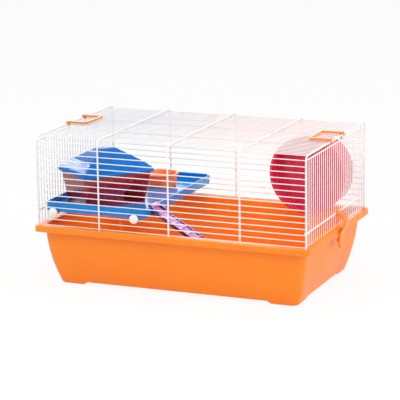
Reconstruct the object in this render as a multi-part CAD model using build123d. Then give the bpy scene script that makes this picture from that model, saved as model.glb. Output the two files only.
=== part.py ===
# Hamster cage: a white wire top on a deep moulded tray, with end doors, clips, latches and fittings.
# +X runs right along the long side, the front is at -Y, +Z is up. The origin is on the ground,
# at the middle of the tray. All sizes are in millimetres.
from build123d import *
import os

os.makedirs("parts", exist_ok=True)

# Tray
TRAY_LENGTH = 470
TRAY_WIDTH = 300
TRAY_HEIGHT = 100
TRAY_SKIN = 2.5
LIP_DEPTH = 10
LIP_CORNER = 9.5
LIP_EDGE = 1.5
WALL_INSET = 12.3
WALL_LEAN = 0.05
WALL_CURVE = 0.0017
WALL_CORNER = 12
FOOT_LENGTH = 42
FOOT_WIDTH = 38
FOOT_HEIGHT = 5
FOOT_SLOPE = 7
FOOT_EDGE = 4

# Wire top
CAGE_LENGTH = 456
CAGE_WIDTH = 287.6
CAGE_HEIGHT = 145
BOW_RADIUS = 1.3
BOW_BEND = 9
BOW_POSITIONS = (-228, -120, 0, 120, 228)
WIRE_RADIUS = 0.75
WELD_BITE = 0.35
FRONT_WIRE_START = 1.5
FRONT_WIRE_PITCH = 9.72
FRONT_WIRE_COUNT = 15
ROOF_WIRE_PITCH = 9.4
ROOF_WIRE_COUNT = 29

# End doors
DOOR_WIRE_PITCH = 9.6
DOOR_WIRE_COUNT = 30
ROD_RADIUS = 1.15
DOOR_ROD_HEIGHT = 24
DOOR_TOP_GAP = 7
COMB_GAP = 1.5
RUNNING_GAP = 0.05
EYE_RADIUS = 2.9
EYE_LENGTH = 1.9

# Top clips
CLIP_ARM_SPREAD = 58.6
CLIP_ARM_WIDTH = 7
CLIP_REACH = 37
CLIP_END = 1.2
CLIP_THICKNESS = 3.2
CLIP_BAR = 5
CLIP_CORNER = 8
CLIP_EDGE = 0.7
CLIP_GAP = 0.4
CLIP_LOOP = 3
RING_START = 29.5
RING_END = 32.5
CLIP_MOUTH = 1.6
JAW_FACE = -1.2
JAW_BACK = -4.2
JAW_DROP = 9.6
JAW_GAP = 0.35

# Tray latches
LATCH_WIDTH = 17.4
LATCH_NECK = 6.4
LATCH_THICKNESS = 3
LATCH_LOOP = 4.2
LATCH_BULGE = 15.2
LATCH_CLEAR = 1.4
LATCH_RAKE = 1.8
SWEEP_SLOPE = -0.47
SWEEP_GAP = 1.4
TINE_SLOT = 1.2
SNAP_MOUTH = 1.1
HOOK_REACH = 4.2
HOOK_RISE = 7

# Platform
PLATFORM_LEFT = -218
PLATFORM_RIGHT = -42
PLATFORM_FRONT = -140.4
PLATFORM_BACK = 136
PLATFORM_BASE = 24
PLATFORM_DEPTH = 14.5
PLATFORM_FLOOR = 3
PLATFORM_WALL = 2
PLATFORM_CORNER = 11
BEAD_RADIUS = 1.8
KNOB_POSITIONS = (-201, -59)
KNOB_HEIGHT = 23.5
KNOB_RADIUS = 7.3
KNOB_FRONT = -149.8
KNOB_FLANGE = 1.6
SCREW_RADIUS = 1.5
BOSS_RADIUS = 5.5
BOSS_LENGTH = 14
NUT_SIZE = 3.4
NUT_LENGTH = 3.2
LUG_POSITIONS = (-190, -70)
LUG_WIDTH = 9
LUG_THICKNESS = 5
LUG_LIP = 2.4
LUG_DROP = 3

# Ladder
LADDER_WIDTH = 30
LADDER_FRONT = -117.5
LADDER_LENGTH = 240
LADDER_SLOPE = 31.2
LADDER_THICKNESS = 3
LADDER_SINK = 1.2
LADDER_RAIL = 2.6
LADDER_RAIL_RISE = 2
TREAD_PITCH = 14
TREAD_RISE = 1.6
HOOK_RADIUS = 4.4
HOOK_INSET = 1
CHEEK_THICKNESS = 2.6

# Exercise wheel
WHEEL_X = 150
WHEEL_Z = 162.6
WHEEL_RADIUS = 63.5
WHEEL_FRONT = 80
WHEEL_BACK = 130
WHEEL_SKIN = 2.2
WHEEL_LIP = 1.5
WHEEL_RIBS = 36
AXLE_RADIUS = 2.5
HUB_RADIUS = 10
BRACKET_WIDTH = 26
BRACKET_LOW = -16
BRACKET_HIGH = 19
BRACKET_THICKNESS = 4
BRACKET_SCREW_RADIUS = 1.8
BRACKET_GAPS = (5.5, 7.5)

# House
HOUSE_X = -146.5
HOUSE_Y = -58.2
HOUSE_TURN = 52.4
HOUSE_WIDTH = 122
HOUSE_DEPTH = 91
HOUSE_TAPER = 8
HOUSE_HEIGHT = 53
HOUSE_SKIN = 2
HOUSE_CORNER = 6
DOOR_OFFSET = 29
DOORWAY_WIDTH = 38
DOORWAY_HEIGHT = 30
VENT_LENGTH = 16
VENT_WIDTH = 4
VENT_ROWS = (-12, 0, 12)
EAVE = 3
EAVE_DROP = 3
ROOF_RISE = 37.5
ROOF_COURSES = 6
ROOF_STEP = 0.9
RIDGE_LENGTH = 26
RIDGE_WIDTH = 18

# Food bowl
BOWL_X = -108
BOWL_Y = 76
BOWL_TOP_RADIUS = 28
BOWL_FOOT_RADIUS = 23.5
BOWL_HEIGHT = 22.5
BOWL_SKIN = 2.2
BOWL_FLOOR = 3
BOWL_BEAD = 1.5

# Worked out from the sizes above
half_length = TRAY_LENGTH / 2
half_width = TRAY_WIDTH / 2
cage_x = CAGE_LENGTH / 2
cage_y = CAGE_WIDTH / 2
roof_z = TRAY_HEIGHT + CAGE_HEIGHT
wire_offset = BOW_RADIUS + WIRE_RADIUS - WELD_BITE
rod_z = TRAY_HEIGHT + DOOR_ROD_HEIGHT
door_top_z = roof_z - DOOR_TOP_GAP
lip_z = TRAY_HEIGHT - LIP_DEPTH
platform_z = TRAY_HEIGHT + PLATFORM_BASE
floor_z = platform_z + PLATFORM_FLOOR
knob_z = TRAY_HEIGHT + KNOB_HEIGHT
BOTTOM = (Align.CENTER, Align.CENTER, Align.MIN)


def save(name, shape):
    if isinstance(shape, list):
        shape = Compound(children=shape)
    shape.label = name
    export_step(shape, f"parts/{name}.step")


def rod(start, end, radius):
    start = Vector(*start)
    along = Vector(*end) - start
    return Plane(origin=start, z_dir=along) * Cylinder(radius, along.length, align=BOTTOM)


def block(low, high):
    size = [b - a for a, b in zip(low, high)]
    middle = [(a + b) / 2 for a, b in zip(low, high)]
    return Pos(*middle) * Box(*size)


def welded(bars):
    return Part() + bars


def rounded_plate(length, width, corner, low, high):
    return Pos(0, 0, low) * extrude(RectangleRounded(length, width, corner), high - low)


# ---------------------------------------------------------------- tray
def tray_inset(z):
    drop = max(lip_z - z, 0)
    return WALL_INSET + WALL_LEAN * drop + WALL_CURVE * drop * drop


def tray_tub(skin, floor):
    heights = [floor + (lip_z - floor) * step / 4 for step in range(5)]
    sections = []
    for z in heights:
        inset = 2 * (tray_inset(z) + skin)
        corner = WALL_CORNER - skin
        outline = RectangleRounded(TRAY_LENGTH - inset, TRAY_WIDTH - inset, corner)
        sections.append(Pos(0, 0, z) * outline)
    collar = extrude(sections[-1], LIP_DEPTH + (1 if skin else -TRAY_SKIN))
    return loft(sections) + collar


def tray():
    tub = tray_tub(0, 0)
    tub = fillet(tub.faces().sort_by(Axis.Z)[0].edges(), FOOT_EDGE)
    half_gap_x = half_length - tray_inset(0) - FOOT_LENGTH
    half_gap_y = half_width - tray_inset(0) - FOOT_WIDTH
    gaps = ((half_gap_x, TRAY_WIDTH, Plane.XZ), (half_gap_y, TRAY_LENGTH, Plane.YZ))
    for half_gap, span, plane in gaps:
        gap = Polygon(
            (-half_gap, 0), (half_gap, 0),
            (half_gap - FOOT_SLOPE, FOOT_HEIGHT), (FOOT_SLOPE - half_gap, FOOT_HEIGHT),
            align=None,
        )
        tub -= extrude(plane * gap, span / 2, both=True)
    rim = rounded_plate(TRAY_LENGTH, TRAY_WIDTH, LIP_CORNER, lip_z, TRAY_HEIGHT)
    rim = fillet(rim.faces().sort_by(Axis.Z)[-1].edges(), LIP_EDGE)
    inner_length = TRAY_LENGTH - 2 * TRAY_SKIN
    inner_width = TRAY_WIDTH - 2 * TRAY_SKIN
    inner_corner = LIP_CORNER - TRAY_SKIN
    rim -= rounded_plate(inner_length, inner_width, inner_corner, lip_z, TRAY_HEIGHT - TRAY_SKIN)
    return tub + rim - tray_tub(TRAY_SKIN, FOOT_HEIGHT + TRAY_SKIN)


# ---------------------------------------------------------------- wire top
def side_bow(x, side):
    """One upright with its bend into the roof."""
    foot = Vector(x, side * cage_y, TRAY_HEIGHT)
    bend = Vector(x, side * cage_y, roof_z - BOW_BEND)
    top = Vector(x, side * (cage_y - BOW_BEND), roof_z)
    path = Wire([Edge.make_line(foot, bend), Edge.make_tangent_arc(bend, Vector(0, 0, 1), top)])
    return sweep(Plane(origin=foot, z_dir=(0, 0, 1)) * Circle(BOW_RADIUS), path)


def hinge_eye(x, side):
    outer = side * (cage_y - BOW_RADIUS + 0.3)
    inner = outer - side * EYE_LENGTH
    ring = rod((x, inner, rod_z), (x, outer, rod_z), EYE_RADIUS)
    return ring - rod((x, inner - side, rod_z), (x, outer + side, rod_z), ROD_RADIUS + RUNNING_GAP)


def side_grille(side):
    bars = [side_bow(x, side) for x in BOW_POSITIONS]
    y = side * (cage_y - wire_offset)
    for row in range(FRONT_WIRE_COUNT):
        z = TRAY_HEIGHT + FRONT_WIRE_START + FRONT_WIRE_PITCH * row
        bars.append(rod((-cage_x, y, z), (cage_x, y, z), WIRE_RADIUS))
    grille = welded(bars)
    for x in (-cage_x, cage_x):
        hole_start = (x, side * (cage_y - 5), rod_z)
        hole_end = (x, side * (cage_y - BOW_RADIUS + 0.2), rod_z)
        grille -= rod(hole_start, hole_end, ROD_RADIUS + RUNNING_GAP)
        grille += hinge_eye(x, side)
    return grille


def roof_grille():
    reach = cage_y - BOW_BEND
    bars = [rod((x, -reach, roof_z), (x, reach, roof_z), BOW_RADIUS) for x in BOW_POSITIONS]
    z = roof_z - wire_offset
    for row in range(ROOF_WIRE_COUNT):
        y = ROOF_WIRE_PITCH * (row - (ROOF_WIRE_COUNT - 1) / 2)
        bars.append(rod((-cage_x, y, z), (cage_x, y, z), WIRE_RADIUS))
    return welded(bars)


def end_grille(side):
    """Door of upright wires, turning on its lower rod."""
    x = side * cage_x
    rod_reach = cage_y - BOW_RADIUS - 0.3
    top_reach = DOOR_WIRE_PITCH * (DOOR_WIRE_COUNT - 1) / 2 + WIRE_RADIUS
    bars = [rod((x, -rod_reach, rod_z), (x, rod_reach, rod_z), ROD_RADIUS)]
    bars.append(rod((x, -top_reach, door_top_z), (x, top_reach, door_top_z), ROD_RADIUS))
    for row in range(DOOR_WIRE_COUNT):
        y = DOOR_WIRE_PITCH * (row - (DOOR_WIRE_COUNT - 1) / 2)
        bars.append(rod((x, y, TRAY_HEIGHT + COMB_GAP), (x, y, door_top_z), WIRE_RADIUS))
    return welded(bars)


# ---------------------------------------------------------------- top clips
def top_clip(side):
    """U-shaped clip that turns on the roof's end bow; its two jaws hold the door's top wire."""
    under = BOW_RADIUS + CLIP_GAP
    top = under + CLIP_THICKNESS
    half = CLIP_ARM_SPREAD / 2
    spread = half + CLIP_ARM_WIDTH / 2
    opening = spread - CLIP_ARM_WIDTH
    clip = block((-CLIP_REACH, -spread, under), (CLIP_END, spread, top))
    clip = fillet(clip.edges().filter_by(Axis.Z).group_by(Axis.X)[0], CLIP_CORNER)
    clip -= block((CLIP_BAR - CLIP_REACH, -opening, under), (CLIP_END, opening, top))
    clip = fillet(clip.faces().sort_by(Axis.Z)[-1].edges(), CLIP_EDGE)
    for near, far in ((RING_START, RING_END), (-RING_END, -RING_START)):
        clip += rod((0, near, 0), (0, far, 0), CLIP_LOOP)
        clip += block((JAW_BACK, near, -JAW_DROP), (JAW_FACE, far, top - CLIP_EDGE))
        clip -= rod((0, near - 1, 0), (0, far + 1, 0), BOW_RADIUS + RUNNING_GAP)
        clip -= rod((0, near - 1, -DOOR_TOP_GAP), (0, far + 1, -DOOR_TOP_GAP), ROD_RADIUS + JAW_GAP)
        clip -= block((JAW_FACE, near - 1, -2 * CLIP_LOOP), (2 * CLIP_LOOP, far + 1, -CLIP_MOUTH))
    placed = Pos(cage_x, 0, roof_z) * clip
    return placed if side > 0 else placed.mirror(Plane.YZ)


# ---------------------------------------------------------------- tray latches
def tray_latch(side):
    """Bowed latch that turns on the door's lower rod and hooks under the tray's lip."""
    lip_out = half_length - cage_x
    lip_low = lip_z - rod_z
    half_skin = LATCH_THICKNESS / 2
    shank = lip_out + 0.4 + half_skin
    bow = ThreePointArc((0.5, LATCH_LOOP - half_skin), (LATCH_BULGE, -9), (shank + 2.2, lip_low + 7))
    throat = TangentArc((shank + 2.2, lip_low + 7), (shank, lip_low), tangent=bow % 1)
    tail = Spline((shank, lip_low), (shank - 1.2, lip_low - 8), (shank + 0.3, lip_low - 20.5),
                  tangents=((0, -1), (0.35, -1)))
    strap = trace(bow + throat + tail, LATCH_THICKNESS)
    hook = Polygon(
        (shank, lip_low - 0.5), (lip_out + 0.4, lip_low - 0.5),
        (lip_out - HOOK_REACH, lip_low - 0.5 - HOOK_RISE), (lip_out - HOOK_REACH, lip_low - 2 - HOOK_RISE),
        (shank, lip_low - 13),
        align=None,
    )
    side_view = Plane.XZ * (strap + hook)
    low, reach = -80, 40
    clear_of_wires = Polygon(
        (LATCH_CLEAR, low), (reach, low), (reach, reach - LATCH_RAKE), (LATCH_CLEAR, LATCH_CLEAR - LATCH_RAKE),
        align=None,
    )
    wide = extrude(side_view, LATCH_WIDTH / 2, both=True)
    wide &= extrude(Plane.XZ * clear_of_wires, LATCH_WIDTH, both=True)
    door_sweep = Polygon(
        (0, -SWEEP_GAP), (reach, SWEEP_SLOPE * reach - SWEEP_GAP), (reach, reach), (0, reach), align=None
    )
    for middle in (-DOOR_WIRE_PITCH / 2, DOOR_WIRE_PITCH / 2):
        slot = extrude(Plane.XZ * door_sweep, TINE_SLOT, both=True)
        wide -= Pos(0, middle, 0) * slot
    latch = wide + extrude(side_view, LATCH_NECK / 2, both=True)
    latch += rod((0, -LATCH_NECK / 2, 0), (0, LATCH_NECK / 2, 0), LATCH_LOOP)
    latch -= rod((0, -LATCH_WIDTH, 0), (0, LATCH_WIDTH, 0), ROD_RADIUS + RUNNING_GAP)
    latch -= block((-2 * LATCH_LOOP, -LATCH_WIDTH, -SNAP_MOUTH), (0, LATCH_WIDTH, SNAP_MOUTH))
    placed = Pos(cage_x, 0, rod_z) * latch
    return placed if side > 0 else placed.mirror(Plane.YZ)


# ---------------------------------------------------------------- platform
def platform():
    length = PLATFORM_RIGHT - PLATFORM_LEFT
    width = PLATFORM_BACK - PLATFORM_FRONT
    middle_x = (PLATFORM_RIGHT + PLATFORM_LEFT) / 2
    middle_y = (PLATFORM_BACK + PLATFORM_FRONT) / 2
    bead_z = PLATFORM_DEPTH - BEAD_RADIUS
    wall = PLATFORM_WALL
    shell = extrude(RectangleRounded(length, width, PLATFORM_CORNER), bead_z)
    hollow = RectangleRounded(length - 2 * wall, width - 2 * wall, PLATFORM_CORNER - wall)
    shell -= Pos(0, 0, PLATFORM_FLOOR) * extrude(hollow, PLATFORM_DEPTH)
    rim = RectangleRounded(length - wall, width - wall, PLATFORM_CORNER - wall / 2)
    path = Pos(0, 0, bead_z) * rim.wire()
    start = path @ 0
    shell += sweep(Plane(origin=start, z_dir=path % 0) * Circle(BEAD_RADIUS), path)
    deck = Pos(middle_x, middle_y, platform_z) * shell
    for x in KNOB_POSITIONS:
        boss_back = PLATFORM_FRONT + BOSS_LENGTH
        deck += rod((x, PLATFORM_FRONT, knob_z), (x, boss_back, knob_z), BOSS_RADIUS)
        deck -= rod((x, PLATFORM_FRONT - 1, knob_z), (x, boss_back - 2, knob_z), SCREW_RADIUS + RUNNING_GAP)
        nut = extrude(Plane.XZ * RegularPolygon(NUT_SIZE, 6), NUT_LENGTH)
        deck -= Pos(x, boss_back - 4, knob_z) * nut
    for x in LUG_POSITIONS:
        low = TRAY_HEIGHT + FRONT_WIRE_START + 2 * FRONT_WIRE_PITCH + WIRE_RADIUS + RUNNING_GAP
        tip = cage_y + LUG_LIP
        left = x - LUG_WIDTH / 2
        right = x + LUG_WIDTH / 2
        deck += block((left, PLATFORM_BACK - 1, low), (right, tip, low + LUG_THICKNESS))
        deck += block((left, tip - LUG_LIP, low - LUG_DROP), (right, tip, low + LUG_THICKNESS))
    return deck


def knob(x):
    """White dome with a flange, pressed on the head of its screw."""
    seat = -cage_y + 0.5
    rim_front = seat - KNOB_FLANGE
    depth = rim_front - KNOB_FRONT
    profile = Plane.XY * make_face(
        Line((0, seat), (KNOB_RADIUS, seat))
        + Line((KNOB_RADIUS, seat), (KNOB_RADIUS, rim_front))
        + EllipticalCenterArc((0, rim_front), KNOB_RADIUS, depth, start_angle=270, arc_size=90)
        + Line((0, KNOB_FRONT), (0, seat))
    )
    dome = revolve(profile, Axis.Y)
    dome -= rod((0, seat + 1, 0), (0, seat - 4, 0), SCREW_RADIUS)
    return Pos(x, 0, knob_z) * dome


def knob_screw(x):
    seat = -cage_y + 0.5
    return rod((x, seat - 4, knob_z), (x, PLATFORM_FRONT + BOSS_LENGTH - 2.3, knob_z), SCREW_RADIUS)


def knob_nut(x):
    boss_back = PLATFORM_FRONT + BOSS_LENGTH
    nut = extrude(Plane.XZ * RegularPolygon(NUT_SIZE, 6), NUT_LENGTH)
    nut = Pos(x, boss_back - 4, knob_z) * nut
    return nut - rod((x, PLATFORM_FRONT, knob_z), (x, boss_back, knob_z), SCREW_RADIUS + RUNNING_GAP)


# ---------------------------------------------------------------- ladder
def ladder():
    """Sloping ramp that hangs by a rounded hook on the platform's rim and stands on the tray."""
    hinge_x = PLATFORM_RIGHT - PLATFORM_WALL / 2
    hinge_z = platform_z + PLATFORM_DEPTH - BEAD_RADIUS
    back = LADDER_FRONT + LADDER_WIDTH
    start = 4.3
    upper = -LADDER_SINK
    lower = -LADDER_SINK - LADDER_THICKNESS
    ramp = block((start, LADDER_FRONT, lower), (LADDER_LENGTH, back, upper))
    for y in (LADDER_FRONT, back - LADDER_RAIL):
        ramp += block((start + 3, y, lower), (LADDER_LENGTH, y + LADDER_RAIL, upper + LADDER_RAIL_RISE))
    for tread in range(int((LADDER_LENGTH - 20) / TREAD_PITCH) + 1):
        s = 16 + tread * TREAD_PITCH
        ramp += block((s, LADDER_FRONT, upper - 1), (s + 2.4, back, upper + TREAD_RISE))
    ramp = Rot(0, LADDER_SLOPE, 0) * ramp
    inner = BEAD_RADIUS + RUNNING_GAP
    hook_front = LADDER_FRONT + HOOK_INSET
    hook_back = back - 1
    crown = rod((0, hook_front, 0), (0, hook_back, 0), HOOK_RADIUS)
    low_mask = Rot(0, 45, 0) * block((-20, -200, -20), (20, 0, -0.01))
    high_mask = Rot(0, -55, 0) * block((-20, -200, -20), (0, 0, 20))
    crown = crown - rod((0, hook_front - 1, 0), (0, hook_back + 1, 0), inner)
    crown -= low_mask & high_mask
    crown -= block((-20, -200, -20), (PLATFORM_WALL / 2 + 0.35, 0, -0.2))
    cheek_side = Plane.XZ * Polygon((2.3, -12.2), (9, -12.2), (16, -9.5), (16, -6), (2.3, 2.5), align=None)
    cheeks = []
    for y in (LADDER_FRONT, back - CHEEK_THICKNESS):
        cheeks.append(Pos(0, y + CHEEK_THICKNESS, 0) * extrude(cheek_side, CHEEK_THICKNESS))
    return Pos(hinge_x, 0, hinge_z) * (ramp + crown + cheeks)


# ---------------------------------------------------------------- exercise wheel
def wheel_drum():
    skin = WHEEL_SKIN
    drum = rod((0, WHEEL_FRONT, 0), (0, WHEEL_BACK, 0), WHEEL_RADIUS)
    drum -= rod((0, WHEEL_FRONT - 1, 0), (0, WHEEL_BACK - skin, 0), WHEEL_RADIUS - skin)
    lip = rod((0, WHEEL_FRONT, 0), (0, WHEEL_FRONT + skin, 0), WHEEL_RADIUS + WHEEL_LIP)
    drum += lip - rod((0, WHEEL_FRONT - 1, 0), (0, WHEEL_BACK, 0), WHEEL_RADIUS - skin)
    drum += rod((0, WHEEL_BACK - 10, 0), (0, WHEEL_BACK + 1, 0), HUB_RADIUS)
    inside = WHEEL_RADIUS - skin
    rib = block((inside - 1.4, WHEEL_FRONT + 1, -0.9), (inside + 0.5, WHEEL_BACK - 1, 0.9))
    drum += [Rot(0, 360 * turn / WHEEL_RIBS, 0) * rib for turn in range(WHEEL_RIBS)]
    drum -= rod((0, WHEEL_FRONT, 0), (0, WHEEL_BACK + 5, 0), AXLE_RADIUS + RUNNING_GAP)
    return Pos(WHEEL_X, 0, WHEEL_Z) * drum


def bracket_screw_heights():
    return [TRAY_HEIGHT + FRONT_WIRE_START + FRONT_WIRE_PITCH * gap for gap in BRACKET_GAPS]


def bracket_plate(front, back):
    half = BRACKET_WIDTH / 2
    low = (WHEEL_X - half, front, WHEEL_Z + BRACKET_LOW)
    plate = block(low, (WHEEL_X + half, back, WHEEL_Z + BRACKET_HIGH))
    return fillet(plate.edges().filter_by(Axis.Y), 5)


def wheel_bracket():
    inner_face = cage_y - wire_offset - WIRE_RADIUS
    back = inner_face - 0.2
    front = back - BRACKET_THICKNESS
    plate = bracket_plate(front, back)
    plate += rod((WHEEL_X, WHEEL_BACK + 1.5, WHEEL_Z), (WHEEL_X, front + 1, WHEEL_Z), 7)
    plate -= rod((WHEEL_X, WHEEL_BACK, WHEEL_Z), (WHEEL_X, back - 1, WHEEL_Z), AXLE_RADIUS)
    for z in bracket_screw_heights():
        plate -= rod((WHEEL_X, front + 1, z), (WHEEL_X, back + 1, z), BRACKET_SCREW_RADIUS)
    return plate


def clamp_plate():
    front = cage_y - wire_offset + WIRE_RADIUS + 0.2
    plate = bracket_plate(front, front + 3)
    for z in bracket_screw_heights():
        plate -= rod((WHEEL_X, front - 1, z), (WHEEL_X, front + 4, z), BRACKET_SCREW_RADIUS + 0.2)
    return plate


def bracket_screws():
    tip = cage_y - wire_offset - WIRE_RADIUS - 0.2 - BRACKET_THICKNESS + 1
    seat = cage_y - wire_offset + WIRE_RADIUS + 3.2
    screws = []
    for z in bracket_screw_heights():
        shank = rod((WHEEL_X, tip, z), (WHEEL_X, seat, z), BRACKET_SCREW_RADIUS)
        head = rod((WHEEL_X, seat, z), (WHEEL_X, seat + 2.2, z), 3.6)
        screws.append(shank + fillet(head.edges().sort_by(Axis.Y)[-1], 1))
    return screws


def wheel_axle():
    inner_face = cage_y - wire_offset - WIRE_RADIUS
    return rod((WHEEL_X, WHEEL_BACK - 14, WHEEL_Z), (WHEEL_X, inner_face - 1.2, WHEEL_Z), AXLE_RADIUS)


def axle_cap():
    back = WHEEL_BACK - 10.5
    cap = rod((WHEEL_X, back - 6, WHEEL_Z), (WHEEL_X, back, WHEEL_Z), 6.5)
    cap = fillet(cap.edges().sort_by(Axis.Y)[0], 2.5)
    return cap - rod((WHEEL_X, WHEEL_BACK - 14, WHEEL_Z), (WHEEL_X, back + 1, WHEEL_Z), AXLE_RADIUS)


# ---------------------------------------------------------------- house
def house_place(shape):
    return Pos(HOUSE_X, HOUSE_Y, floor_z) * Rot(0, 0, HOUSE_TURN) * shape


def tapered_box(skin, low, high):
    sections = []
    for z in (low, high):
        shrink = 2 * (HOUSE_TAPER * (1 - z / HOUSE_HEIGHT) + skin)
        outline = RectangleRounded(HOUSE_WIDTH - shrink, HOUSE_DEPTH - shrink, HOUSE_CORNER - skin)
        sections.append(Pos(0, 0, z) * outline)
    return loft(sections)


def house_base():
    walls = tapered_box(0, 0, HOUSE_HEIGHT) - tapered_box(HOUSE_SKIN, HOUSE_SKIN, HOUSE_HEIGHT + 1)
    half = DOORWAY_WIDTH / 2
    spring = DOORWAY_HEIGHT - half
    arch = make_face(
        Polyline((-half, spring), (-half, HOUSE_SKIN), (half, HOUSE_SKIN), (half, spring))
        + RadiusArc((half, spring), (-half, spring), -half)
    )
    cutter = extrude(Plane.XZ * arch, HOUSE_DEPTH)
    walls -= Pos(DOOR_OFFSET, 0, 0) * cutter
    vent = extrude(Plane.YZ * SlotOverall(VENT_LENGTH, VENT_WIDTH, rotation=90), HOUSE_WIDTH)
    for row in VENT_ROWS:
        walls -= Pos(0, row, HOUSE_HEIGHT / 2) * vent
    return house_place(walls)


def roof_course(step):
    share = step / ROOF_COURSES
    bulge = 1 - share ** 1.25
    length = RIDGE_LENGTH + (HOUSE_WIDTH + 2 * EAVE - RIDGE_LENGTH) * bulge
    width = RIDGE_WIDTH + (HOUSE_DEPTH + 2 * EAVE - RIDGE_WIDTH) * bulge
    return length, width


def house_roof():
    """Hipped roof in stepped courses, hollow, sitting over the top of the walls."""
    rise = (ROOF_RISE - EAVE_DROP) / ROOF_COURSES
    length, width = roof_course(0)
    roof = extrude(RectangleRounded(length, width, 5), EAVE_DROP)
    roof = fillet(roof.faces().sort_by(Axis.Z)[0].edges(), 1)
    for step in range(ROOF_COURSES):
        low_length, low_width = roof_course(step)
        high_length, high_width = roof_course(step + 1)
        low = Pos(0, 0, EAVE_DROP + rise * step) * RectangleRounded(low_length, low_width, 2.2)
        high_size = (high_length + 2 * ROOF_STEP, high_width + 2 * ROOF_STEP)
        high = Pos(0, 0, EAVE_DROP + rise * (step + 1)) * RectangleRounded(*high_size, 2.2)
        roof += loft([low, high])
    wall_line = RectangleRounded(HOUSE_WIDTH + 0.8, HOUSE_DEPTH + 0.8, HOUSE_CORNER + 0.4)
    roof -= extrude(wall_line, 1.6)
    for step in range(ROOF_COURSES - 1):
        sections = []
        for level in (step, step + 1):
            length, width = (size - 2 * (EAVE + HOUSE_SKIN) for size in roof_course(level))
            sections.append(Pos(0, 0, rise * level) * RectangleRounded(length, width, 2))
        roof -= loft(sections)
    return house_place(Pos(0, 0, HOUSE_HEIGHT - 1.6) * roof)


# ---------------------------------------------------------------- food bowl
def food_bowl():
    solid = Cone(BOWL_FOOT_RADIUS, BOWL_TOP_RADIUS, BOWL_HEIGHT, align=BOTTOM)
    inner_foot = BOWL_FOOT_RADIUS - BOWL_SKIN
    inner_top = BOWL_TOP_RADIUS - BOWL_SKIN
    hollow = Pos(0, 0, BOWL_FLOOR) * Cone(inner_foot, inner_top, BOWL_HEIGHT - BOWL_FLOOR, align=BOTTOM)
    rim = Pos(0, 0, BOWL_HEIGHT - BOWL_BEAD) * Torus(BOWL_TOP_RADIUS - BOWL_BEAD / 2, BOWL_BEAD)
    bowl = solid - hollow + rim
    bowl -= Pos(0, 0, -0.01) * Cylinder(BOWL_FOOT_RADIUS - 5, 1.2, align=BOTTOM)
    return Pos(BOWL_X, BOWL_Y, floor_z) * bowl


save("tray", tray())
save("front_grille", side_grille(-1))
save("back_grille", side_grille(1))
save("roof_grille", roof_grille())
for name, side in (("left", -1), ("right", 1)):
    save(f"{name}_end_grille", end_grille(side))
    save(f"{name}_top_clip", top_clip(side))
    save(f"{name}_tray_latch", tray_latch(side))
save("platform", platform())
for name, x in zip(("left", "right"), KNOB_POSITIONS):
    save(f"{name}_knob", knob(x))
    save(f"{name}_knob_screw", knob_screw(x))
save("knob_nuts", [knob_nut(x) for x in KNOB_POSITIONS])
save("ladder", ladder())
save("wheel_drum", wheel_drum())
save("wheel_axle", wheel_axle())
save("axle_cap", axle_cap())
save("wheel_bracket", wheel_bracket())
save("bracket_clamp_plate", clamp_plate())
save("bracket_screws", bracket_screws())
save("house_base", house_base())
save("house_roof", house_roof())
save("food_bowl", food_bowl())
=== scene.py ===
import bpy
from math import radians
from mathutils import Matrix, Vector


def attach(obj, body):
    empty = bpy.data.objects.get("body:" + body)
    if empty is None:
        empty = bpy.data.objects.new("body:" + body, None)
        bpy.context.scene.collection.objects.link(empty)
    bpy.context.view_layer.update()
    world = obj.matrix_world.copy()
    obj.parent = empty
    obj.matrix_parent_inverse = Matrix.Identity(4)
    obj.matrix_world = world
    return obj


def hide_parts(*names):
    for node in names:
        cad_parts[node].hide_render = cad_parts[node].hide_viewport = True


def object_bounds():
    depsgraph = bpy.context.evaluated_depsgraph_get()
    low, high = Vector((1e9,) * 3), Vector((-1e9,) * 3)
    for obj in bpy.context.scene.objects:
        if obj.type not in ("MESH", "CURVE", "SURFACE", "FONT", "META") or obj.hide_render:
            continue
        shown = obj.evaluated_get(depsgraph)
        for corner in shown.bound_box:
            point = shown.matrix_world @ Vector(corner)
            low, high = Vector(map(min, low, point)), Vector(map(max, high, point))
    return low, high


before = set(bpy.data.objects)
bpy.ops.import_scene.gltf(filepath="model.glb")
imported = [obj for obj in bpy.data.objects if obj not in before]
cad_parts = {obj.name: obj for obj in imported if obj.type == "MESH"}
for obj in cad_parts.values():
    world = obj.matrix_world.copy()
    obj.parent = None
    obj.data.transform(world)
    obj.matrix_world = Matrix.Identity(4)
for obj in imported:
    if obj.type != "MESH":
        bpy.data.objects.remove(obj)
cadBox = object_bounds()
print("cage frame loaded")

quietAngle = radians(35)    # edges sharper than this are rounded or kept crisp
flatAngle = radians(0.3)    # triangles flatter than this are merged
mergeGap = 0.000002
noiseBand = (0.3, 0.7)    # the middle of a noise's range, stretched over a finish's own limits
coatRoughness = 0.12
lampTarget = (0, 0, 0.12)
farClip = 20


# selection and mesh helpers, used by every piece below
def selectOnly(*pieces):
    bpy.ops.object.select_all(action="DESELECT")
    for piece in pieces:
        piece.select_set(True)
    bpy.context.view_layer.objects.active = pieces[0]


def applyModifiers(piece):
    selectOnly(piece)
    for modifier in list(piece.modifiers):
        bpy.ops.object.modifier_apply(modifier=modifier.name)


def smoothByAngle(piece, angle=quietAngle):
    selectOnly(piece)
    bpy.ops.object.shade_smooth_by_angle(angle=angle)


def roundEdges(piece, width, segments=2, angle=quietAngle):
    edge = piece.modifiers.new("softEdge", "BEVEL")
    edge.width = width
    edge.segments = segments
    edge.limit_method = "ANGLE"
    edge.angle_limit = angle
    applyModifiers(piece)


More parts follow.
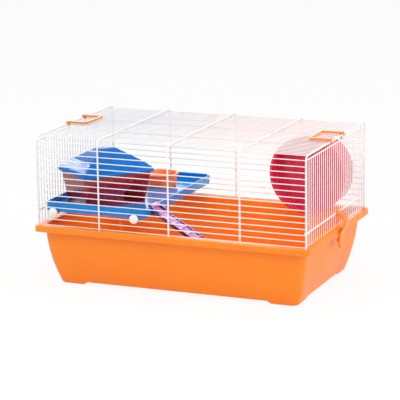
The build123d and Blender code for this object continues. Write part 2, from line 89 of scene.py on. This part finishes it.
def copyNode(node, name):
    piece = bpy.data.objects.new(name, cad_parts[node].data.copy())
    bpy.context.scene.collection.objects.link(piece)
    piece.data.materials.clear()
    selectOnly(piece)
    bpy.ops.mesh.customdata_custom_splitnormals_clear()
    bpy.ops.object.mode_set(mode="EDIT")
    bpy.ops.mesh.select_all(action="SELECT")
    bpy.ops.mesh.remove_doubles(threshold=mergeGap)
    bpy.ops.mesh.dissolve_limited(angle_limit=flatAngle)
    bpy.ops.object.mode_set(mode="OBJECT")
    return piece


def joinPieces(name, pieces):
    selectOnly(*pieces)
    bpy.ops.object.join()
    joined = bpy.context.object
    joined.name = name
    return joined


def settle(piece):
    selectOnly(piece)
    bpy.ops.object.transform_apply(location=True, rotation=True, scale=True)


def finishPiece(piece, material, body, slot, *nodes):
    piece.data.materials.clear()
    piece.data.materials.append(material)
    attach(piece, body)
    if nodes:
        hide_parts(*nodes)


def paintNode(node, material):
    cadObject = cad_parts[node]
    cadObject.data.materials.clear()
    cadObject.data.materials.append(material)


# material helpers
def addNode(tree, kind, inputs=None, **settings):
    node = tree.nodes.new(kind)
    for key, value in settings.items():
        setattr(node, key, value)
    for key, value in (inputs or {}).items():
        node.inputs[key].default_value = value
    return node


def newMaterial(name):
    material = bpy.data.materials.new(name)
    material.use_nodes = True
    tree = material.node_tree
    return material, tree, tree.nodes["Principled BSDF"]


def mixColours(tree, amount, first, second):
    mix = addNode(tree, "ShaderNodeMix", data_type="RGBA")
    mix.inputs["A"].default_value = (*first, 1)
    mix.inputs["B"].default_value = (*second, 1)
    tree.links.new(amount, mix.inputs["Factor"])
    return mix.outputs["Result"]


def spread(tree, value, low, high):
    levels = {"From Min": noiseBand[0], "From Max": noiseBand[1], "To Min": low, "To Max": high}
    mapRange = addNode(tree, "ShaderNodeMapRange", levels)
    tree.links.new(value, mapRange.inputs["Value"])
    return mapRange.outputs["Result"]


def noiseOn(tree, scale, detail, roughness=0.5, stretch=(1, 1, 1)):
    place = addNode(tree, "ShaderNodeTexCoord")
    mapping = addNode(tree, "ShaderNodeMapping", {"Scale": stretch})
    noise = addNode(tree, "ShaderNodeTexNoise", {"Scale": scale, "Detail": detail, "Roughness": roughness})
    tree.links.new(place.outputs["Object"], mapping.inputs["Vector"])
    tree.links.new(mapping.outputs["Vector"], noise.inputs["Vector"])
    return noise.outputs["Fac"]


def bumpFrom(tree, height, depth, under=None):
    bump = addNode(tree, "ShaderNodeBump", {"Distance": depth, "Strength": 1})
    tree.links.new(height, bump.inputs["Height"])
    if under:
        tree.links.new(under, bump.inputs["Normal"])
    return bump.outputs["Normal"]


# painted shade: darkens the outer side of a rail as if it lay in shadow, read from the piece's own sideways
# normals
def paintShadeOnRails(tree, surfaceColour, shade, facing):
    place = addNode(tree, "ShaderNodeTexCoord")
    axes = addNode(tree, "ShaderNodeSeparateXYZ")
    tree.links.new(place.outputs["Normal"], axes.inputs[0])
    sideways = addNode(tree, "ShaderNodeMath", operation="ABSOLUTE")
    tree.links.new(axes.outputs["Y"], sideways.inputs[0])
    amount = addNode(tree, "ShaderNodeMapRange", {"From Min": facing[0], "From Max": facing[1]})
    tree.links.new(sideways.outputs[0], amount.inputs["Value"])
    mix = addNode(tree, "ShaderNodeMix", data_type="RGBA")
    mix.inputs["B"].default_value = (*shade, 1)
    tree.links.new(surfaceColour, mix.inputs["A"])
    tree.links.new(amount.outputs["Result"], mix.inputs["Factor"])
    return mix.outputs["Result"]


# injection moulded plastic: colour that drifts a little, a fine mould grain, rubbed patches, and, where a
# look asks for it, painted shade on the outer sides of rails
def mouldedPlastic(name, look):
    material, tree, shader = newMaterial(name)
    drift = noiseOn(tree, look["driftScale"], detail=3)
    surfaceColour = mixColours(tree, drift, look["deep"], look["bright"])
    grain = noiseOn(tree, look["grainScale"], detail=5, roughness=0.6)
    rubStretch = look.get("rubStretch", (1, 1, 1))
    rubbed = noiseOn(tree, look["rubScale"], detail=6, roughness=0.65, stretch=rubStretch)
    # painted shade on the rails' outer sides, mixed into the surface colour
    if "railPaintedShade" in look:
        surfaceColour = paintShadeOnRails(tree, surfaceColour, look["railPaintedShade"], look["railPaintedShadeFacing"])
    tree.links.new(surfaceColour, shader.inputs["Base Color"])
    tree.links.new(spread(tree, rubbed, *look["gloss"]), shader.inputs["Roughness"])
    waves = bumpFrom(tree, drift, look["waveDepth"])
    tree.links.new(bumpFrom(tree, grain, look["grainDepth"], waves), shader.inputs["Normal"])
    shader.inputs["Specular IOR Level"].default_value = look.get("shine", 0.5)
    shader.inputs["Coat Weight"].default_value = look.get("coat", 0)
    shader.inputs["Coat Roughness"].default_value = coatRoughness
    shader.inputs["Subsurface Weight"].default_value = look.get("glow", 0)
    shader.inputs["Subsurface Scale"].default_value = look.get("glowDepth", 0.004)
    shader.inputs["Subsurface Radius"].default_value = look.get("glowTint", (1, 0.4, 0.15))
    return material


trayPlastic = mouldedPlastic("trayOrange", dict(
    deep=(0.95, 0.22, 0.007), bright=(1.0, 0.275, 0.012), driftScale=9, grainScale=900, grainDepth=0.00003,
    rubScale=30, rubStretch=(1, 1, 0.4), gloss=(0.3, 0.44), waveDepth=0.0005, shine=0.35, glow=0.3,
    glowDepth=0.008, glowTint=(1, 0.3, 0.05)))
clipPlastic = mouldedPlastic("clipOrange", dict(
    deep=(0.86, 0.22, 0.015), bright=(0.97, 0.3, 0.03), driftScale=60, grainScale=1500, grainDepth=0.00002,
    rubScale=120, gloss=(0.25, 0.4), waveDepth=0.0001, glow=0.15, glowDepth=0.002, glowTint=(1, 0.4, 0.1)))
shelfPlastic = mouldedPlastic("shelfBlue", dict(
    deep=(0.0, 0.18, 0.56), bright=(0.0, 0.265, 0.75), driftScale=14, grainScale=1100, grainDepth=0.00002,
    rubScale=50, gloss=(0.14, 0.26), waveDepth=0.0004, shine=0.25, coat=0.2))
# the ramp is blue plastic; its lilac base colour is a painted reflection of the orange tray and the white
# surround
rampPlastic = mouldedPlastic("rampPaintedLilac", dict(
    deep=(0.36, 0.12, 0.4), bright=(0.5, 0.19, 0.5), driftScale=20, grainScale=1300, grainDepth=0.00003,
    rubScale=80, gloss=(0.16, 0.3), waveDepth=0.0002, coat=0.5, railPaintedShade=(0.06, 0.012, 0.12),
    railPaintedShadeFacing=(0.6, 0.95)))
knobPlastic = mouldedPlastic("knobWhite", dict(
    deep=(0.78, 0.75, 0.74), bright=(0.85, 0.83, 0.82), driftScale=90, grainScale=1800, grainDepth=0.00001,
    rubScale=150, gloss=(0.15, 0.28), waveDepth=0.00005))
wheelPlastic = mouldedPlastic("wheelCrimson", dict(
    deep=(0.56, 0.014, 0.06), bright=(0.72, 0.03, 0.11), driftScale=18, grainScale=1200, grainDepth=0.00002,
    rubScale=60, gloss=(0.2, 0.34), waveDepth=0.0002, glow=0.2, glowDepth=0.004, glowTint=(1, 0.1, 0.2)))
wallPlastic = mouldedPlastic("houseBurgundy", dict(
    deep=(0.22, 0.003, 0.012), bright=(0.33, 0.007, 0.024), driftScale=25, grainScale=700, grainDepth=0.00006,
    rubScale=70, gloss=(0.2, 0.36), waveDepth=0.0005, shine=0.5, coat=0.3, glow=0.8, glowDepth=0.012,
    glowTint=(1, 0.05, 0.08)))
roofPlastic = mouldedPlastic("roofBlue", dict(
    deep=(0.0, 0.115, 0.42), bright=(0.0, 0.175, 0.62), driftScale=22, grainScale=1000, grainDepth=0.00002,
    rubScale=60, gloss=(0.12, 0.24), waveDepth=0.0012, shine=0.1))
bowlPlastic = mouldedPlastic("bowlOrange", dict(
    deep=(1.0, 0.2, 0.03), bright=(1.0, 0.28, 0.06), driftScale=30, grainScale=1200, grainDepth=0.00002,
    rubScale=80, gloss=(0.2, 0.34), waveDepth=0.0001, glow=0.8, glowDepth=0.012, glowTint=(1, 0.3, 0.06)))


# white powder coat: tiny orange peel and a faint grey settling in it
def powderCoat(look):
    material, tree, shader = newMaterial("wireWhite")
    peel = noiseOn(tree, look["peelScale"], detail=4, roughness=0.55)
    haze = noiseOn(tree, look["hazeScale"], detail=3)
    tree.links.new(mixColours(tree, haze, look["deep"], look["bright"]), shader.inputs["Base Color"])
    tree.links.new(spread(tree, peel, *look["gloss"]), shader.inputs["Roughness"])
    tree.links.new(bumpFrom(tree, peel, look["peelDepth"]), shader.inputs["Normal"])
    return material


wireCoating = powderCoat(dict(
    deep=(0.82, 0.81, 0.8), bright=(0.89, 0.88, 0.87), peelScale=1600, hazeScale=35, peelDepth=0.00003,
    gloss=(0.28, 0.4)))


# zinc plated steel with lathe lines round the axis of each shaft
def platedSteel(look):
    material, tree, shader = newMaterial("screwSteel")
    lines = noiseOn(tree, look["lineScale"], detail=5, roughness=0.6, stretch=look["stretch"])
    stain = noiseOn(tree, look["stainScale"], detail=3)
    tree.links.new(mixColours(tree, stain, look["deep"], look["bright"]), shader.inputs["Base Color"])
    tree.links.new(spread(tree, lines, *look["gloss"]), shader.inputs["Roughness"])
    tree.links.new(bumpFrom(tree, lines, look["lineDepth"]), shader.inputs["Normal"])
    shader.inputs["Metallic"].default_value = 1
    return material


screwSteel = platedSteel(dict(
    deep=(0.46, 0.46, 0.47), bright=(0.66, 0.66, 0.67), lineScale=300, stretch=(1, 12, 1), stainScale=60,
    lineDepth=0.00003, gloss=(0.24, 0.42)))
print("materials made")


# wires and small steel parts keep their solids and take a finish
for node in ("front_grille", "back_grille", "roof_grille", "left_end_grille", "right_end_grille"):
    paintNode(node, wireCoating)
for node in ("left_knob_screw", "right_knob_screw", "knob_nuts", "wheel_axle", "bracket_screws"):
    paintNode(node, screwSteel)
for node in ("wheel_bracket", "bracket_clamp_plate", "axle_cap"):
    paintNode(node, wheelPlastic)
print("wires painted")


# moulded pieces: the solid's own shape with its edges rounded as a mould rounds them
def mouldedPiece(name, material, body, slot, look):
    piece = copyNode(look["node"], name)
    roundEdges(piece, look["edge"], look.get("segments", 2))
    smoothByAngle(piece)
    finishPiece(piece, material, body, slot, look["node"])
    return piece


trayShell = dict(node="tray", edge=0.0007, segments=3)
mouldedPiece("trayShell", trayPlastic, "tray_body", "tray_plastic", trayShell)
shelfDeck = dict(node="platform", edge=0.0005)
mouldedPiece("shelfDeck", shelfPlastic, "wire_top", "platform_plastic", shelfDeck)
rampBoard = dict(node="ladder", edge=0.0004)
mouldedPiece("rampBoard", rampPlastic, "ramp", "ladder_plastic", rampBoard)
foodBowl = dict(node="food_bowl", edge=0.0004)
mouldedPiece("foodBowl", bowlPlastic, "bowl", "bowl_plastic", foodBowl)
houseWalls = dict(node="house_base", edge=0.0004)
mouldedPiece("houseWalls", wallPlastic, "wire_top", "house_wall_plastic", houseWalls)
houseTop = dict(node="house_roof", edge=0.0004)
mouldedPiece("houseTop", roofPlastic, "roof", "house_roof_plastic", houseTop)
runningWheel = dict(node="wheel_drum", edge=0.0003)
mouldedPiece("runningWheel", wheelPlastic, "wheel", "wheel_plastic", runningWheel)
for side in ("left", "right"):
    topClip = dict(node=f"{side}_top_clip", edge=0.0003)
    mouldedPiece(f"{side}TopClip", clipPlastic, f"{side}_clip", "clip_plastic", topClip)
    trayLatch = dict(node=f"{side}_tray_latch", edge=0.0004)
    mouldedPiece(f"{side}TrayLatch", clipPlastic, f"{side}_latch", "clip_plastic", trayLatch)
    shelfKnob = dict(node=f"{side}_knob", edge=0.0003)
    mouldedPiece(f"{side}Knob", knobPlastic, f"{side}_knob_body", "knob_plastic", shelfKnob)
print("moulded pieces made")


# weld beads where the wires cross, one small bead copied to every crossing
weldLook = dict(
    bowX=(-0.228, -0.12, 0, 0.12, 0.228), sideY=0.1424, sideStart=0.1015, sidePitch=0.00972, sideCount=15,
    roofZ=0.2435, roofPitch=0.0094, roofCount=29, doorX=0.228, doorPitch=0.0096, doorCount=30,
    doorZ=(0.124, 0.238), clipEye=(0.027, 0.035), bead=(0.0013, 0.0013, 0.00105),
    doorBead=(0.0014, 0.00095, 0.0014))


def beadMesh(size):
    bpy.ops.object.select_all(action="DESELECT")
    bpy.ops.mesh.primitive_uv_sphere_add(segments=8, ring_count=6, radius=1)
    bead = bpy.context.object
    bead.scale = size
    settle(bead)
    bpy.ops.object.shade_smooth()
    return bead


def addWelds(name, size, places, body, slot):
    first = beadMesh(size)
    beads = []
    for place in places:
        bead = bpy.data.objects.new(name, first.data.copy())
        bpy.context.scene.collection.objects.link(bead)
        bead.location = place
        beads.append(bead)
    bpy.data.objects.remove(first)
    welds = joinPieces(name, beads)
    settle(welds)
    finishPiece(welds, wireCoating, body, slot)


# the clips' eyes turn on the end bows, so no bead stands there
def underClip(x, y, look):
    start, end = look["clipEye"]
    return abs(x) == look["doorX"] and start < abs(y) < end


def spaced(count, pitch):
    return [pitch * (step - (count - 1) / 2) for step in range(count)]


def weldWires(look):
    sideRows = [look["sideStart"] + look["sidePitch"] * row for row in range(look["sideCount"])]
    for name, y in (("frontWelds", -look["sideY"]), ("backWelds", look["sideY"])):
        places = [(x, y, z) for x in look["bowX"] for z in sideRows]
        addWelds(name, look["bead"], places, "wire_top", "wire_coating")
    roofRows = spaced(look["roofCount"], look["roofPitch"])
    places = [(x, y, look["roofZ"]) for x in look["bowX"] for y in roofRows if not underClip(x, y, look)]
    addWelds("roofWelds", look["bead"], places, "wire_top", "wire_coating")
    doorRows = spaced(look["doorCount"], look["doorPitch"])
    for side, x in (("left", -look["doorX"]), ("right", look["doorX"])):
        places = [(x, y, z) for y in doorRows for z in look["doorZ"]]
        addWelds(f"{side}DoorWelds", look["doorBead"], places, f"{side}_door", "wire_coating")


weldWires(weldLook)
print("weld beads made")


# camera
cameraLook = dict(place=(1.1731, -2.7986, 0.8494), turn=22.850, tilt=-13.389, roll=-0.788, lens=172.31)


def addCamera(look):
    bpy.ops.object.camera_add()
    camera = bpy.context.object
    turned = Matrix.Rotation(radians(look["turn"]), 4, "Z")
    tilted = Matrix.Rotation(radians(90 + look["tilt"]), 4, "X")
    rolled = Matrix.Rotation(radians(look["roll"]), 4, "Z")
    camera.matrix_world = Matrix.Translation(look["place"]) @ turned @ tilted @ rolled
    camera.data.lens = look["lens"]
    camera.data.clip_end = farClip
    bpy.context.scene.camera = camera


addCamera(cameraLook)
print("camera placed")


# studio: pale floor, white surround, soft lamps at a plain level
studioLook = dict(
    floorSize=8, floorColour=(0.9, 0.9, 0.9), floorGlow=0.9, ambient=0.64,
    lamps=(
        dict(name="topBox", place=(0.1, 0.1, 2.2), size=2.0, power=12),
        dict(name="rightBox", place=(2.2, -0.5, 1.3), size=1.6, power=20),
        dict(name="leftBox", place=(-2.0, -0.9, 1.4), size=1.4, power=14),
        dict(name="frontBox", place=(0.3, -2.4, 1.9), size=1.8, power=14),
    ),
    fills=(
        dict(name="cabinFill", place=(0.085, 0, 0.236), size=0.25, depth=0.26, power=0.22),
        dict(name="shelfFill", place=(-0.135, 0, 0.1), size=0.12, depth=0.2, power=0.07),
        dict(name="houseFill", place=(-0.1465, -0.0582, 0.19), size=0.04, depth=0.04, power=0.012),
    ),
    cards=(
        dict(name="backLeftCard", place=(-1.6, 0.9, 1.3), size=0.9, power=32),
        dict(name="backCard", place=(-1.1, 2.6, 0.8), size=1.6, power=18),
    ))


def seenDirectly(tree):
    path = addNode(tree, "ShaderNodeLightPath")
    glossy = addNode(tree, "ShaderNodeMath", operation="MAXIMUM")
    clear = addNode(tree, "ShaderNodeMath", operation="MAXIMUM")
    tree.links.new(path.outputs["Is Camera Ray"], glossy.inputs[0])
    tree.links.new(path.outputs["Is Glossy Ray"], glossy.inputs[1])
    tree.links.new(glossy.outputs[0], clear.inputs[0])
    tree.links.new(path.outputs["Is Transmission Ray"], clear.inputs[1])
    return clear.outputs[0]


def whiteFloor(look):
    material, tree, shader = newMaterial("floorWhite")
    shader.inputs["Base Color"].default_value = (*look["floorColour"], 1)
    shader.inputs["Roughness"].default_value = 1
    shader.inputs["Specular IOR Level"].default_value = 0
    glow = addNode(tree, "ShaderNodeEmission", {"Color": (1, 1, 1, 1), "Strength": 1})
    blend = addNode(tree, "ShaderNodeMixShader")
    share = addNode(tree, "ShaderNodeMath", {1: look["floorGlow"]}, operation="MULTIPLY")
    tree.links.new(seenDirectly(tree), share.inputs[0])
    tree.links.new(share.outputs[0], blend.inputs[0])
    tree.links.new(shader.outputs[0], blend.inputs[1])
    tree.links.new(glow.outputs[0], blend.inputs[2])
    tree.links.new(blend.outputs[0], tree.nodes["Material Output"].inputs["Surface"])
    return material


def addLamp(lamp):
    bpy.ops.object.light_add(type="AREA", location=lamp["place"])
    light = bpy.context.object
    light.name = lamp["name"]
    light.data.size = lamp["size"]
    light.data.energy = lamp["power"]
    if "depth" in lamp:
        light.data.shape = "RECTANGLE"
        light.data.size_y = lamp["depth"]
        return light
    aim = Vector(lampTarget) - Vector(lamp["place"])
    light.rotation_euler = aim.to_track_quat("-Z", "Y").to_euler()
    return light


def addStudio(look):
    bpy.ops.mesh.primitive_plane_add(size=look["floorSize"], location=(0, 0, cadBox[0].z))
    floorPlane = bpy.context.object
    floorPlane.name = "floor"
    settle(floorPlane)
    floorPlane.data.materials.append(whiteFloor(look))
    world = bpy.data.worlds.new("studioWorld")
    bpy.context.scene.world = world
    world.use_nodes = True
    tree = world.node_tree
    background = tree.nodes["Background"]
    level = addNode(tree, "ShaderNodeMapRange", {"To Min": look["ambient"], "To Max": 1.0})
    tree.links.new(seenDirectly(tree), level.inputs["Value"])
    tree.links.new(level.outputs["Result"], background.inputs["Strength"])
    background.inputs["Color"].default_value = (1, 1, 1, 1)
    for lamp in look["lamps"]:
        addLamp(lamp)
    for fill in look["fills"]:
        addLamp(fill).visible_camera = False   # lifts the shade inside the wires
    for card in look["cards"]:
        addLamp(card).visible_diffuse = False   # seen only as a gloss highlight


addStudio(studioLook)
bpy.context.scene.view_settings.view_transform = "Standard"
print("studio set")
